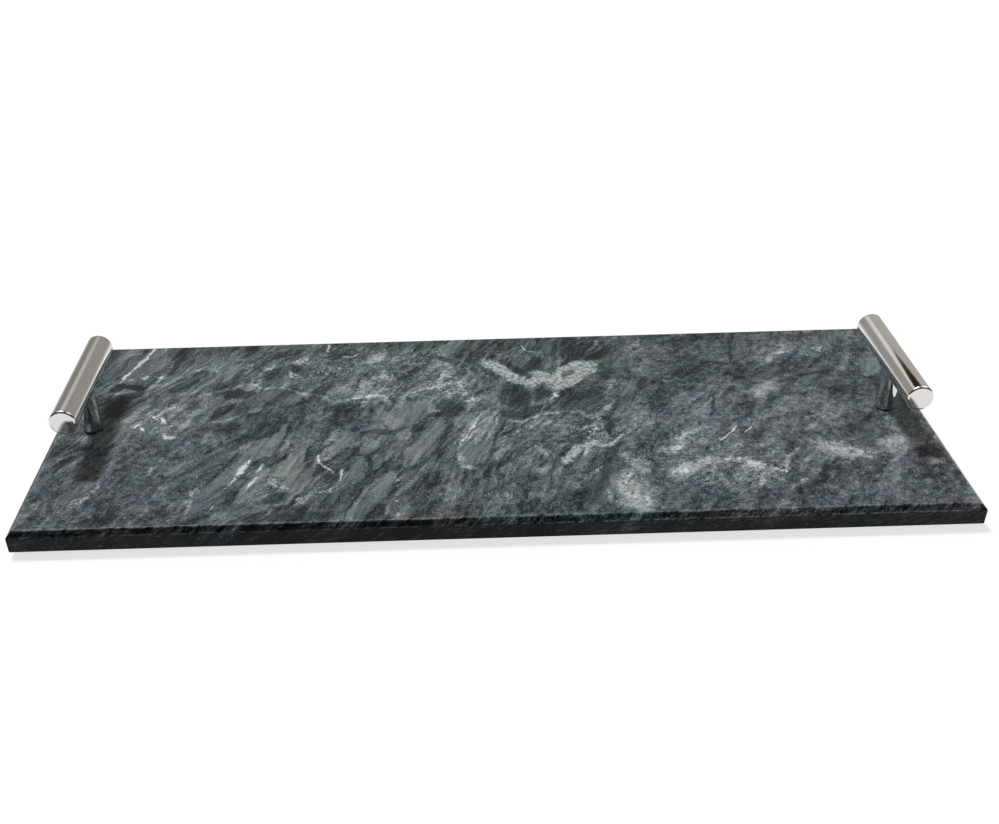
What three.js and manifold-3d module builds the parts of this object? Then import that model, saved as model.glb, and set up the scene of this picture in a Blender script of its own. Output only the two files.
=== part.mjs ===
// A marble serving tray: a chamfered stone slab with a T-bar handle screwed on at each short end.
// Millimetres, +Z up. X runs along the slab, and the slab stands on its feet at Z = 0.
import * as THREE from 'three';
import { ConvexGeometry } from 'three/addons/geometries/ConvexGeometry.js';
import { mergeVertices } from 'three/addons/utils/BufferGeometryUtils.js';
import Module from 'manifold-3d';

const wasm = await Module();
wasm.setup();

// Marble slab
const SLAB_LENGTH = 457;
const SLAB_DEPTH = 178;
const SLAB_THICKNESS = 11;
const TOP_CHAMFER = 2.8;
const BOTTOM_ARRIS = 0.6;

// Handles: a bar on one post at each end
const HANDLE_INSET = 20;
const BAR_DIAMETER = 13.5;
const BAR_LENGTH = 78;
const BAR_HEIGHT = 28;
const BAR_END_RADIUS = 1.2;
const POST_DIAMETER = 10;
const POST_FOOT_CHAMFER = 0.3;
const SEAT_EDGE_DEPTH = 0.2;

// Joining stud inside the bar and the post
const STUD_DIAMETER = 4;
const STUD_IN_POST = 6;
const STUD_END_CHAMFER = 0.4;
const BAR_TOP_WALL = 4;

// Fixing screw, washer and gasket
const SCREW_DIAMETER = 4;
const SCREW_IN_POST = 9;
const SCREW_TIP_CHAMFER = 0.5;
const SCREW_HEAD_DIAMETER = 7.6;
const SCREW_HEAD_HEIGHT = 2.6;
const SCREW_HEAD_EDGE = 0.6;
const DRIVE_SLOT_WIDTH = 1.1;
const DRIVE_SLOT_LENGTH = 4.4;
const DRIVE_SLOT_DEPTH = 1.3;
const SCREW_HEAD_SINK = 1.6;
const WASHER_DIAMETER = 10;
const WASHER_THICKNESS = 0.8;
const GASKET_THICKNESS = 0.5;

// Bumper feet
const FOOT_DIAMETER = 12;
const FOOT_TREAD_DIAMETER = 10;
const FOOT_HEIGHT = 2.5;
const FOOT_EDGE = 0.5;
const FOOT_INSET_X = 26;
const FOOT_INSET_Y = 22;

// Clearances, all measured on the radius or along the axis
const FIT_CLEARANCE = 0.3;
const SCREW_HOLE_CLEARANCE = 0.5;
const RECESS_CLEARANCE = 1;
const BORE_END_CLEARANCE = 1;

// Facets round a circle, and steps in the quarter round of a bar's end
const BAR_SIDES = 64;
const ROUND_SIDES = 36;
const END_STEPS = 4;

// Places worked out from the sizes
const slabTop = FOOT_HEIGHT + SLAB_THICKNESS;
const handleX = SLAB_LENGTH / 2 - HANDLE_INSET;
const barRadius = BAR_DIAMETER / 2;
const postRadius = POST_DIAMETER / 2;
const studRadius = STUD_DIAMETER / 2;
const screwRadius = SCREW_DIAMETER / 2;
const seatRadius = postRadius + FIT_CLEARANCE;
const studBoreRadius = studRadius + FIT_CLEARANCE;
const screwBoreRadius = screwRadius + FIT_CLEARANCE;
const screwHoleRadius = screwRadius + SCREW_HOLE_CLEARANCE;
const washerRadius = WASHER_DIAMETER / 2;
const recessRadius = washerRadius + RECESS_CLEARANCE;
const recessDepth = WASHER_THICKNESS + SCREW_HEAD_HEIGHT + SCREW_HEAD_SINK;

// Heights above the slab's top face. The seat is a flat spot bored into the underside of the bar,
// just deep enough for its rim to be a full circle.
const seatHeight = BAR_HEIGHT - Math.sqrt(barRadius ** 2 - seatRadius ** 2) + SEAT_EDGE_DEPTH;
const studBoreTop = BAR_HEIGHT + barRadius - BAR_TOP_WALL;
const studTop = studBoreTop - BORE_END_CLEARANCE;
const studBottom = seatHeight - STUD_IN_POST;
const screwTop = GASKET_THICKNESS + SCREW_IN_POST;
const screwBoreTop = screwTop + BORE_END_CLEARANCE;
const recessTop = recessDepth - SLAB_THICKNESS;
const screwHeadTop = recessTop - WASHER_THICKNESS;
const screwHeadBottom = screwHeadTop - SCREW_HEAD_HEIGHT;

const finishes = {
  marble: { color: 0x50575a, roughness: 0.14, metalness: 0 },
  chrome: { color: 0xc9c6c0, roughness: 0.08, metalness: 1 },
  steel: { color: 0x9a9c9e, roughness: 0.35, metalness: 1 },
  rubber: { color: 0x1f2021, roughness: 0.85, metalness: 0 },
};

function named(name, geometry, finish) {
  const mesh = new THREE.Mesh(geometry, new THREE.MeshStandardMaterial(finishes[finish]));
  mesh.name = name;
  return mesh;
}

// A closed solid of a geometry, with coincident corners merged and needle triangles at poles left out
function solid(geometry) {
  const bare = geometry.clone();
  bare.deleteAttribute('normal');
  bare.deleteAttribute('uv');
  const merged = mergeVertices(bare, 1e-5);
  const corners = merged.index.array;
  const kept = [];
  for (let i = 0; i < corners.length; i += 3) {
    const [a, b, c] = corners.slice(i, i + 3);
    if (a !== b && b !== c && c !== a) {
      kept.push(a, b, c);
    }
  }
  return new wasm.Manifold(new wasm.Mesh({
    numProp: 3,
    vertProperties: new Float32Array(merged.attributes.position.array),
    triVerts: new Uint32Array(kept),
  }));
}

function geometryOf(body) {
  const mesh = body.getMesh();
  const geometry = new THREE.BufferGeometry();
  geometry.setAttribute('position', new THREE.BufferAttribute(mesh.vertProperties, 3));
  geometry.setIndex(new THREE.BufferAttribute(mesh.triVerts, 1));
  geometry.computeVertexNormals();
  return geometry;
}

function cut(geometry, ...cutters) {
  return geometryOf(cutters.reduce((body, cutter) => body.subtract(solid(cutter)), solid(geometry)));
}

// A turned piece about its own Y axis, from [radius, height] corners
function turned(profile, sides) {
  return new THREE.LatheGeometry(profile.map(([r, y]) => new THREE.Vector2(r, y)), sides);
}

// The same, standing along Z
function turnedUpright(profile, sides = ROUND_SIDES) {
  return turned(profile, sides).rotateX(Math.PI / 2);
}

function ring(innerRadius, outerRadius, bottom, top) {
  return turnedUpright([
    [innerRadius, bottom],
    [outerRadius, bottom],
    [outerRadius, top],
    [innerRadius, top],
    [innerRadius, bottom],
  ]);
}

// Slab: its top face lies at Z = 0 here, and it is drilled and recessed under each handle
function slabGeometry() {
  const levels = [
    [0, TOP_CHAMFER],
    [-TOP_CHAMFER, 0],
    [-SLAB_THICKNESS + BOTTOM_ARRIS, 0],
    [-SLAB_THICKNESS, BOTTOM_ARRIS],
  ];
  const corners = levels.flatMap(([z, inset]) => {
    const x = SLAB_LENGTH / 2 - inset;
    const y = SLAB_DEPTH / 2 - inset;
    return [[-x, -y], [x, -y], [x, y], [-x, y]].map(([cx, cy]) => new THREE.Vector3(cx, cy, z));
  });
  const drill = [
    [0, -SLAB_THICKNESS - BORE_END_CLEARANCE],
    [recessRadius, -SLAB_THICKNESS - BORE_END_CLEARANCE],
    [recessRadius, recessTop],
    [screwHoleRadius, recessTop],
    [screwHoleRadius, BORE_END_CLEARANCE],
    [0, BORE_END_CLEARANCE],
  ];
  const drills = [-handleX, handleX].map((x) => turnedUpright(drill).translate(x, 0, 0));
  return cut(new ConvexGeometry(corners), ...drills);
}

// Bar: turned along Y with rounded ends, with the post's seat and the stud's blind bore in its underside
function barGeometry() {
  const half = BAR_LENGTH / 2;
  const nearEnd = Array.from({ length: END_STEPS + 1 }, (_, step) => {
    const turn = (step / END_STEPS) * (Math.PI / 2);
    return [
      barRadius - BAR_END_RADIUS * (1 - Math.sin(turn)),
      -half + BAR_END_RADIUS * (1 - Math.cos(turn)),
    ];
  });
  const farEnd = nearEnd.map(([r, y]) => [r, -y]).reverse();
  const bar = turned([[0, -half], ...nearEnd, ...farEnd, [0, half]], BAR_SIDES);
  const bores = turnedUpright([
    [0, -barRadius - BORE_END_CLEARANCE],
    [seatRadius, -barRadius - BORE_END_CLEARANCE],
    [seatRadius, seatHeight - BAR_HEIGHT],
    [studBoreRadius, seatHeight - BAR_HEIGHT],
    [studBoreRadius, studBoreTop - BAR_HEIGHT],
    [0, studBoreTop - BAR_HEIGHT],
  ]);
  return cut(bar, bores);
}

// Post: bored from its foot for the screw and from its top for the stud
function postGeometry() {
  return turnedUpright([
    [0, screwBoreTop],
    [screwBoreRadius, screwBoreTop],
    [screwBoreRadius, GASKET_THICKNESS],
    [postRadius - POST_FOOT_CHAMFER, GASKET_THICKNESS],
    [postRadius, GASKET_THICKNESS + POST_FOOT_CHAMFER],
    [postRadius, seatHeight],
    [studBoreRadius, seatHeight],
    [studBoreRadius, studBottom],
    [0, studBottom],
  ]);
}

function studGeometry() {
  return turnedUpright([
    [0, studBottom],
    [studRadius - STUD_END_CHAMFER, studBottom],
    [studRadius, studBottom + STUD_END_CHAMFER],
    [studRadius, studTop - STUD_END_CHAMFER],
    [studRadius - STUD_END_CHAMFER, studTop],
    [0, studTop],
  ]);
}

// Screw: pan head below, with a crossed drive slot in its underside
function screwGeometry() {
  const headRadius = SCREW_HEAD_DIAMETER / 2;
  const screw = turnedUpright([
    [0, screwHeadBottom],
    [headRadius - SCREW_HEAD_EDGE, screwHeadBottom],
    [headRadius, screwHeadBottom + SCREW_HEAD_EDGE],
    [headRadius, screwHeadTop],
    [screwRadius, screwHeadTop],
    [screwRadius, screwTop - SCREW_TIP_CHAMFER],
    [screwRadius - SCREW_TIP_CHAMFER, screwTop],
    [0, screwTop],
  ]);
  const slots = [0, Math.PI / 2].map((turn) => (
    new THREE.BoxGeometry(DRIVE_SLOT_LENGTH, DRIVE_SLOT_WIDTH, 2 * DRIVE_SLOT_DEPTH)
      .rotateZ(turn)
      .translate(0, 0, screwHeadBottom)
  ));
  return cut(screw, ...slots);
}

function footGeometry() {
  const footRadius = FOOT_DIAMETER / 2;
  const treadRadius = FOOT_TREAD_DIAMETER / 2;
  return turnedUpright([
    [0, 0],
    [treadRadius - FOOT_EDGE, 0],
    [treadRadius, FOOT_EDGE],
    [footRadius, FOOT_HEIGHT],
    [0, FOOT_HEIGHT],
  ]);
}

// One handle with its fastenings, standing on the slab's top face at Z = 0
function handle(side) {
  const group = new THREE.Group();
  const bar = named(`${side}_handle_bar`, barGeometry(), 'chrome');
  bar.position.z = BAR_HEIGHT;
  const gasket = ring(screwHoleRadius, postRadius, 0, GASKET_THICKNESS);
  const washer = ring(screwHoleRadius, washerRadius, screwHeadTop, recessTop);
  group.add(
    bar,
    named(`${side}_handle_post`, postGeometry(), 'chrome'),
    named(`${side}_joining_stud`, studGeometry(), 'steel'),
    named(`${side}_post_gasket`, gasket, 'rubber'),
    named(`${side}_screw_washer`, washer, 'steel'),
    named(`${side}_fixing_screw`, screwGeometry(), 'steel'),
  );
  return group;
}

const tray = new THREE.Group();

const slab = named('marble_slab', slabGeometry(), 'marble');
slab.position.z = slabTop;
tray.add(slab);

const ends = { left: -1, right: 1 };
const rows = { front: -1, rear: 1 };
for (const [end, endSign] of Object.entries(ends)) {
  const group = handle(end);
  group.position.set(endSign * handleX, 0, slabTop);
  tray.add(group);
  for (const [row, rowSign] of Object.entries(rows)) {
    const foot = named(`${row}_${end}_foot`, footGeometry(), 'rubber');
    foot.position.x = endSign * (SLAB_LENGTH / 2 - FOOT_INSET_X);
    foot.position.y = rowSign * (SLAB_DEPTH / 2 - FOOT_INSET_Y);
    tray.add(foot);
  }
}

export default tray;
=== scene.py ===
"""Looks of the marble serving tray: a chamfered stone slab with a polished T-bar handle at each end."""
import math
from types import SimpleNamespace

import bmesh
import bpy
from mathutils import Matrix, Vector


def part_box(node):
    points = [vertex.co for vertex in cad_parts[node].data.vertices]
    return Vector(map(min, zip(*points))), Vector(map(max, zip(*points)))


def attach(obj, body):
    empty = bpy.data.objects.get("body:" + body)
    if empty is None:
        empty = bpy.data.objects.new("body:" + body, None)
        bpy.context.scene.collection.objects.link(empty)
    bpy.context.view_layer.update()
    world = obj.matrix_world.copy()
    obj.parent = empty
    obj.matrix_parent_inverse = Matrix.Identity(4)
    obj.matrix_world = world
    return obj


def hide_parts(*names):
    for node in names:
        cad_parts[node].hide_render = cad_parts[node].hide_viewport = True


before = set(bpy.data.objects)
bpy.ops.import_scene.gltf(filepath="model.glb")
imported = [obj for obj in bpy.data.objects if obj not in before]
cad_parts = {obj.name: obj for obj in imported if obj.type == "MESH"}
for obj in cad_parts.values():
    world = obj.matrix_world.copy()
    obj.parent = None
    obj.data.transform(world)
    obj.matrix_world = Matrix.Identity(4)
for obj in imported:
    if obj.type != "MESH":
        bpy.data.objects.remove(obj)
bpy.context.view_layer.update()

MM = 0.001
SIDES = ("left", "right")
CORNERS = tuple(f"{row}_{side}" for row in ("front", "rear") for side in SIDES)

# Edges and small features, in metres
TOP_CHAMFER = 2.8 * MM
BOTTOM_ARRIS = 0.6 * MM
STONE_EDGE = 0.35 * MM
SCREW_HOLE_RADIUS = 2.5 * MM
RECESS_RADIUS = 6.0 * MM
RECESS_DEPTH = 5.0 * MM
BAR_END_RADIUS = 1.2 * MM
POST_FOOT_RADIUS = 0.3 * MM
STUD_BORE_RADIUS = 2.3 * MM
STUD_BORE_DEPTH = 7.0 * MM
STUD_EDGE = 0.4 * MM
SCREW_BORE_DEPTH = 10.0 * MM
SCREW_RADIUS = 2.0 * MM
SCREW_HEAD_HEIGHT = 2.6 * MM
SCREW_HEAD_EDGE = 0.6 * MM
DRIVE_SLOT = (4.4 * MM, 1.1 * MM, 1.3 * MM)
WASHER_BORE_RADIUS = 2.5 * MM
WASHER_EDGE = 0.12 * MM
GASKET_EDGE = 0.1 * MM
FOOT_TREAD_RADIUS = 5.0 * MM
FOOT_EDGE = 0.5 * MM

# A plain ring kept beside a round, so that the surface next to it shades evenly
SMOOTH_RING = 0.15 * MM
CUT_OVERSHOOT = 1.0 * MM
TOUCH = 0.1 * MM
BAR_SIDES = 160
ROUND_SIDES = 96
SHARP_FROM = math.radians(30)
SHADE_SHARP_FROM = math.radians(35)


# Shapes

def turned(outline, sides):
    """A shape turned round the Z axis from (radius, height) points, as on a lathe."""
    shape = bmesh.new()
    points = [shape.verts.new((radius, 0.0, height)) for radius, height in outline]
    edges = [shape.edges.new(pair) for pair in zip(points, points[1:])]
    bmesh.ops.spin(
        shape,
        geom=points + edges,
        axis=(0.0, 0.0, 1.0),
        cent=(0.0, 0.0, 0.0),
        angle=math.tau,
        steps=sides,
        use_merge=True,
    )
    bmesh.ops.remove_doubles(shape, verts=shape.verts, dist=1e-7)
    bmesh.ops.recalc_face_normals(shape, faces=shape.faces)
    return shape


def block(low, high):
    """A plain block between two corners."""
    shape = bmesh.new()
    size = Vector(high) - Vector(low)
    place = Matrix.Translation((Vector(high) + Vector(low)) / 2) @ Matrix.Diagonal((*size, 1.0))
    bmesh.ops.create_cube(shape, size=1.0, matrix=place)
    return shape


def soften(shape, width, segments, chosen=None):
    """Rounds or chamfers the sharp edges of a shape, or only the chosen ones."""
    edges = [
        edge
        for edge in shape.edges
        if edge.is_manifold and edge.calc_face_angle() > SHARP_FROM
    ]
    if chosen is not None:
        edges = [edge for edge in edges if chosen(edge)]
    bmesh.ops.bevel(
        shape,
        geom=edges,
        offset=width,
        affect="EDGES",
        segments=segments,
        profile=0.5,
        material=-1,
    )
    return shape


def move(shape, offset):
    bmesh.ops.translate(shape, verts=shape.verts, vec=Vector(offset))
    return shape


def lay_along_y(shape):
    turn = Matrix.Rotation(math.radians(-90), 3, "X")
    bmesh.ops.rotate(shape, verts=shape.verts, cent=(0.0, 0.0, 0.0), matrix=turn)
    return shape


def as_object(name, shape):
    mesh = bpy.data.meshes.new(name)
    shape.to_mesh(mesh)
    shape.free()
    made = bpy.data.objects.new(name, mesh)
    bpy.context.scene.collection.objects.link(made)
    return made


def cut_away(piece, shape):
    """Cuts a closed shape out of a piece."""
    cutter = as_object("cutter", shape)
    cut = piece.modifiers.new("cut", "BOOLEAN")
    cut.operation = "DIFFERENCE"
    cut.solver = "EXACT"
    cut.object = cutter
    ready = piece.evaluated_get(bpy.context.evaluated_depsgraph_get())
    mesh = bpy.data.meshes.new_from_object(ready)
    piece.modifiers.clear()
    piece.data = mesh
    bpy.data.objects.remove(cutter)


def add_piece(name, shape, node, finish, cuts=()):
    """Puts a finished piece of the tray in place of its CAD node."""
    piece = as_object(name, shape)
    for cutter in cuts:
        cut_away(piece, cutter)
    piece.data.materials.clear()
    piece.data.materials.append(finish)
    piece.data.shade_smooth()
    piece.data.set_sharp_from_angle(angle=SHADE_SHARP_FROM)
    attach(piece, "root")
    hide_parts(node)
    return piece


def middle(node):
    low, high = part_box(node)
    return (low + high) / 2


def on_axis_of(shape, node):
    """Moves a turned shape onto the upright axis of a node."""
    place = middle(node)
    return move(shape, (place.x, place.y, 0.0))


# Pieces

def stone_slab(finish):
    """The slab: chamfered round the top, eased below, with a stepped screw hole at each end."""
    low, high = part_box("marble_slab")
    shape = block(low, high)

    def round_the_top(edge):
        return all(vertex.co.z > high.z - MM for vertex in edge.verts)

    def round_the_bottom(edge):
        return all(vertex.co.z < low.z + MM for vertex in edge.verts)

    soften(shape, TOP_CHAMFER, 1, round_the_top)
    soften(shape, BOTTOM_ARRIS, 2, round_the_bottom)
    soften(shape, STONE_EDGE, 4)
    wells = []
    for side in SIDES:
        outline = (
            (0.0, low.z - CUT_OVERSHOOT),
            (RECESS_RADIUS, low.z - CUT_OVERSHOOT),
            (RECESS_RADIUS, low.z + RECESS_DEPTH),
            (SCREW_HOLE_RADIUS, low.z + RECESS_DEPTH),
            (SCREW_HOLE_RADIUS, high.z + CUT_OVERSHOOT),
            (0.0, high.z + CUT_OVERSHOOT),
        )
        wells.append(on_axis_of(turned(outline, ROUND_SIDES), f"{side}_handle_post"))
    slab = add_piece("stone_slab", shape, "marble_slab", finish, wells)
    evened = slab.modifiers.new("even_shading", "WEIGHTED_NORMAL")
    evened.keep_sharp = True
    evened.weight = 100
    return slab


def handle_bar(side, finish):
    """The round bar: flat ends with a rounded rim, and a flat seat below for the post."""
    node = f"{side}_handle_bar"
    low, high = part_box(node)
    radius = (high.z - low.z) / 2
    half = (high.y - low.y) / 2
    rim = BAR_END_RADIUS + SMOOTH_RING
    outline = (
        (0.0, -half),
        (radius - rim, -half),
        (radius, -half),
        (radius, -half + rim),
        (radius, half - rim),
        (radius, half),
        (radius - rim, half),
        (0.0, half),
    )
    shape = soften(turned(outline, BAR_SIDES), BAR_END_RADIUS, 6)
    move(lay_along_y(shape), middle(node))
    post_low, post_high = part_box(f"{side}_handle_post")
    post_radius = (post_high.x - post_low.x) / 2
    stud_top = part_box(f"{side}_joining_stud")[1].z
    seat = (
        (0.0, low.z - CUT_OVERSHOOT),
        (post_radius, low.z - CUT_OVERSHOOT),
        (post_radius, post_high.z),
        (STUD_BORE_RADIUS, post_high.z),
        (STUD_BORE_RADIUS, stud_top + CUT_OVERSHOOT),
        (0.0, stud_top + CUT_OVERSHOOT),
    )
    cutter = on_axis_of(turned(seat, ROUND_SIDES), f"{side}_handle_post")
    return add_piece(f"{side}_bar", shape, node, finish, [cutter])


def handle_post(side, finish):
    """The post: a plain round leg, bored from below for the screw and from above for the stud."""
    node = f"{side}_handle_post"
    low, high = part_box(node)
    radius = (high.x - low.x) / 2
    outline = (
        (0.0, low.z + SCREW_BORE_DEPTH),
        (STUD_BORE_RADIUS, low.z + SCREW_BORE_DEPTH),
        (STUD_BORE_RADIUS, low.z),
        (radius - POST_FOOT_RADIUS - SMOOTH_RING, low.z),
        (radius, low.z),
        (radius, low.z + POST_FOOT_RADIUS + SMOOTH_RING),
        (radius, high.z),
        (STUD_BORE_RADIUS, high.z),
        (STUD_BORE_RADIUS, high.z - STUD_BORE_DEPTH),
        (0.0, high.z - STUD_BORE_DEPTH),
    )

    def at_the_foot(edge):
        return all(
            vertex.co.z < low.z + SMOOTH_RING and vertex.co.xy.length > radius - SMOOTH_RING
            for vertex in edge.verts
        )

    shape = soften(turned(outline, ROUND_SIDES), POST_FOOT_RADIUS, 3, at_the_foot)
    on_axis_of(shape, node)
    return add_piece(f"{side}_post", shape, node, finish)


def joining_stud(side, finish):
    """The headless stud inside the post and the bar."""
    node = f"{side}_joining_stud"
    low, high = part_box(node)
    radius = (high.x - low.x) / 2
    outline = ((0.0, low.z), (radius, low.z), (radius, high.z), (0.0, high.z))
    shape = soften(turned(outline, ROUND_SIDES), STUD_EDGE, 2)
    on_axis_of(shape, node)
    return add_piece(f"{side}_stud", shape, node, finish)


def ring(node, bore_radius, edge):
    """A flat ring the size of a node, with a round bore and soft edges."""
    low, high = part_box(node)
    radius = (high.x - low.x) / 2
    outline = (
        (bore_radius, low.z),
        (radius, low.z),
        (radius, high.z),
        (bore_radius, high.z),
        (bore_radius, low.z),
    )
    return on_axis_of(soften(turned(outline, ROUND_SIDES), edge, 2), node)


def post_gasket(side, finish):
    node = f"{side}_post_gasket"
    shape = ring(node, SCREW_HOLE_RADIUS, GASKET_EDGE)
    return add_piece(f"{side}_gasket", shape, node, finish)


def screw_washer(side, finish):
    node = f"{side}_screw_washer"
    shape = ring(node, WASHER_BORE_RADIUS, WASHER_EDGE)
    return add_piece(f"{side}_washer", shape, node, finish)


def fixing_screw(side, finish):
    """The screw: a low rounded head with a cross slot, and a plain shank up into the post."""
    node = f"{side}_fixing_screw"
    low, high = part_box(node)
    head_radius = (high.x - low.x) / 2
    outline = (
        (0.0, low.z),
        (head_radius, low.z),
        (head_radius, low.z + SCREW_HEAD_HEIGHT),
        (SCREW_RADIUS, low.z + SCREW_HEAD_HEIGHT),
        (SCREW_RADIUS, high.z),
        (0.0, high.z),
    )

    def at_the_head(edge):
        return all(vertex.co.z < low.z + TOUCH for vertex in edge.verts)

    shape = soften(turned(outline, ROUND_SIDES), SCREW_HEAD_EDGE, 5, at_the_head)
    on_axis_of(shape, node)
    place = middle(node)
    length, width, depth = DRIVE_SLOT
    slots = []
    for reach_x, reach_y in ((length / 2, width / 2), (width / 2, length / 2)):
        corner = Vector((place.x - reach_x, place.y - reach_y, low.z - CUT_OVERSHOOT))
        opposite = Vector((place.x + reach_x, place.y + reach_y, low.z + depth))
        slots.append(block(corner, opposite))
    return add_piece(f"{side}_screw", shape, node, finish, slots)


def bumper_foot(corner, finish):
    """A soft foot, narrower at the tread than at the stone."""
    node = f"{corner}_foot"
    low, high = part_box(node)
    radius = (high.x - low.x) / 2
    outline = ((0.0, low.z), (FOOT_TREAD_RADIUS, low.z), (radius, high.z), (0.0, high.z))

    def at_the_tread(edge):
        return edge.verts[0].co.z < middle(node).z

    shape = soften(turned(outline, ROUND_SIDES), FOOT_EDGE, 4, at_the_tread)
    on_axis_of(shape, node)
    return add_piece(f"{corner}_bumper", shape, node, finish)


# Node helpers

def add_node(tree, kind, inputs=None, **settings):
    """Adds a node, sets its options, and sets or links its inputs."""
    made = tree.nodes.new(kind)
    for name, value in settings.items():
        setattr(made, name, value)
    for key, value in (inputs or {}).items():
        if isinstance(value, bpy.types.NodeSocket):
            tree.links.new(value, made.inputs[key])
        else:
            made.inputs[key].default_value = value
    return made


def calc(tree, operation, first, second=0.0):
    inputs = {0: first, 1: second}
    return add_node(tree, "ShaderNodeMath", inputs, operation=operation).outputs[0]


def vector_calc(tree, operation, first, second=None):
    inputs = {0: first} if second is None else {0: first, 1: second}
    made = add_node(tree, "ShaderNodeVectorMath", inputs, operation=operation)
    return made.outputs["Value" if operation in ("LENGTH", "DOT_PRODUCT") else "Vector"]


def ease(tree, value, start, end, low=0.0, high=1.0):
    """A smooth step from low to high as a value goes from start to end."""
    inputs = {"Value": value, 1: start, 2: end, 3: low, 4: high}
    made = add_node(tree, "ShaderNodeMapRange", inputs, interpolation_type="SMOOTHSTEP")
    return made.outputs["Result"]


def noise(tree, where, size, detail, roughness=0.5, distortion=0.0):
    """Cloudy noise whose lumps are about as wide as size."""
    inputs = {
        "Vector": where,
        "Scale": 1.0 / size,
        "Detail": detail,
        "Roughness": roughness,
        "Distortion": distortion,
    }
    return add_node(tree, "ShaderNodeTexNoise", inputs, noise_dimensions="3D")


def mix(tree, share, first, second):
    """A blend of two numbers."""
    inputs = {0: share, 2: first, 3: second}
    return add_node(tree, "ShaderNodeMix", inputs, data_type="FLOAT").outputs[0]


def mix_colour(tree, share, first, second, blend="MIX"):
    inputs = {0: share, 6: first, 7: second}
    made = add_node(tree, "ShaderNodeMix", inputs, data_type="RGBA", blend_type=blend)
    return made.outputs[2]


def millimetres(tree):
    """The place on a piece, in millimetres of the tray's own frame."""
    place = add_node(tree, "ShaderNodeTexCoord").outputs["Object"]
    return vector_calc(tree, "MULTIPLY", place, (1000.0, 1000.0, 1000.0))


def new_finish(name):
    finish = bpy.data.materials.new(name)
    finish.use_nodes = True
    return finish, finish.node_tree, finish.node_tree.nodes["Principled BSDF"]


# The stone's marks, in millimetres on the slab seen from above: x to the right, y away from the front.
# A stroke is a width and the points that it runs through.
MILKY_VEINS = (
    (9.5, ((2, 57), (8, 50))),
    (8.5, ((8, 50), (14, 42), (19, 36))),
    (6.5, ((19, 35), (25, 34), (28, 38))),
    (9.0, ((30, 43), (33, 40))),
    (9.0, ((33, 38), (42, 37))),
    (9.5, ((40, 30), (47, 35), (53, 43), (59, 51))),
    (7.0, ((40, 42), (46, 49), (52, 54), (57, 53))),
    (5.0, ((36, -42), (39, -37), (43, -32))),
    (2.6, ((45, -39), (47, -31))),
    (4.2, ((47, -30), (52, -27))),
    (3.0, ((52, -28), (57, -30), (62, -27))),
    (2.2, ((62, -27), (71, -19))),
)
VEIN_GAPS = (
    (47, 45, 8, 4, 40),
    (44, 43, 5, 3, 10),
)
PALE_VEINS = (
    (5.0, ((-156, 30), (-148, 32), (-140, 40), (-129, 40))),
    (3.5, ((-129, 39), (-122, 36), (-113, 36), (-106, 33), (-99, 27), (-91, 27), (-84, 19))),
    (3.0, ((-84, 19), (-75, 22), (-65, 24), (-56, 23), (-53, 17))),
    (3.5, ((-42, 25), (-36, 29), (-29, 32), (-14, 38))),
    (2.2, ((36, 23), (33, 12), (28, 2))),
    (3.5, ((14, -5), (21, -2), (28, 1), (38, 1), (48, 4), (53, -4), (60, 1), (66, 11))),
    (3.5, ((43, -14), (56, -9))),
    (2.6, ((52, -49), (46, -55), (37, -66))),
    (3.5, ((90, -36), (96, -28), (97, -24), (103, -18), (110, -15))),
    (3.0, ((148, -43), (142, -56))),
    (3.0, ((130, -60), (127, -70))),
    (2.2, ((-120, 64), (-126, 53), (-131, 42))),
    (2.4, ((-121, 16), (-130, 10), (-147, 2))),
    (4.0, ((-150, 24), (-164, 4), (-178, -9))),
    (4.0, ((-155, 12), (-163, -10))),
    (3.0, ((-166, 24), (-180, 8))),
    (4.5, ((-180, 58), (-184, 48), (-188, 34))),
    (1.8, ((-168, 49), (-178, 34))),
    (2.2, ((-157, 65), (-166, 54))),
    (3.0, ((-91, -65), (-97, -75))),
    (4.5, ((-19, 60), (-22, 52), (-25, 43))),
    (3.0, ((17, 64), (24, 80))),
    (2.6, ((60, 66), (68, 84))),
    (3.0, ((85, 70), (90, 82))),
    (4.0, ((153, 45), (165, 58), (175, 63))),
    (3.0, ((-207, 76), (-200, 79))),
    (1.6, ((-184, 76), (-187, 62))),
    (2.6, ((-206, 36), (-195, 36))),
    (4.0, ((-17, -29), (-15, -44), (-10, -49))),
    (2.4, ((-17, -26), (-13, -12), (-3, 5))),
    (2.0, ((-13, -22), (-7, -10), (2, 5))),
    (2.8, ((-9, -26), (-4, -10), (4, 7))),
    (2.2, ((-3, -22), (1, -9), (6, 4))),
    (3.0, ((-194, -10), (-198, -20))),
    (3.0, ((-219, -30), (-206, -21))),
    (3.0, ((-167, -38), (-173, -45))),
    (2.6, ((-194, -58), (-195, -49))),
    (3.4, ((-203, -68), (-196, -62))),
    (3.0, ((-146, -62), (-147, -76))),
    (4.0, ((-85, -20), (-78, -8))),
    (2.6, ((213, -35), (222, -36), (226, -28))),
    (2.0, ((172, -11), (178, -8))),
)
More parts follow.
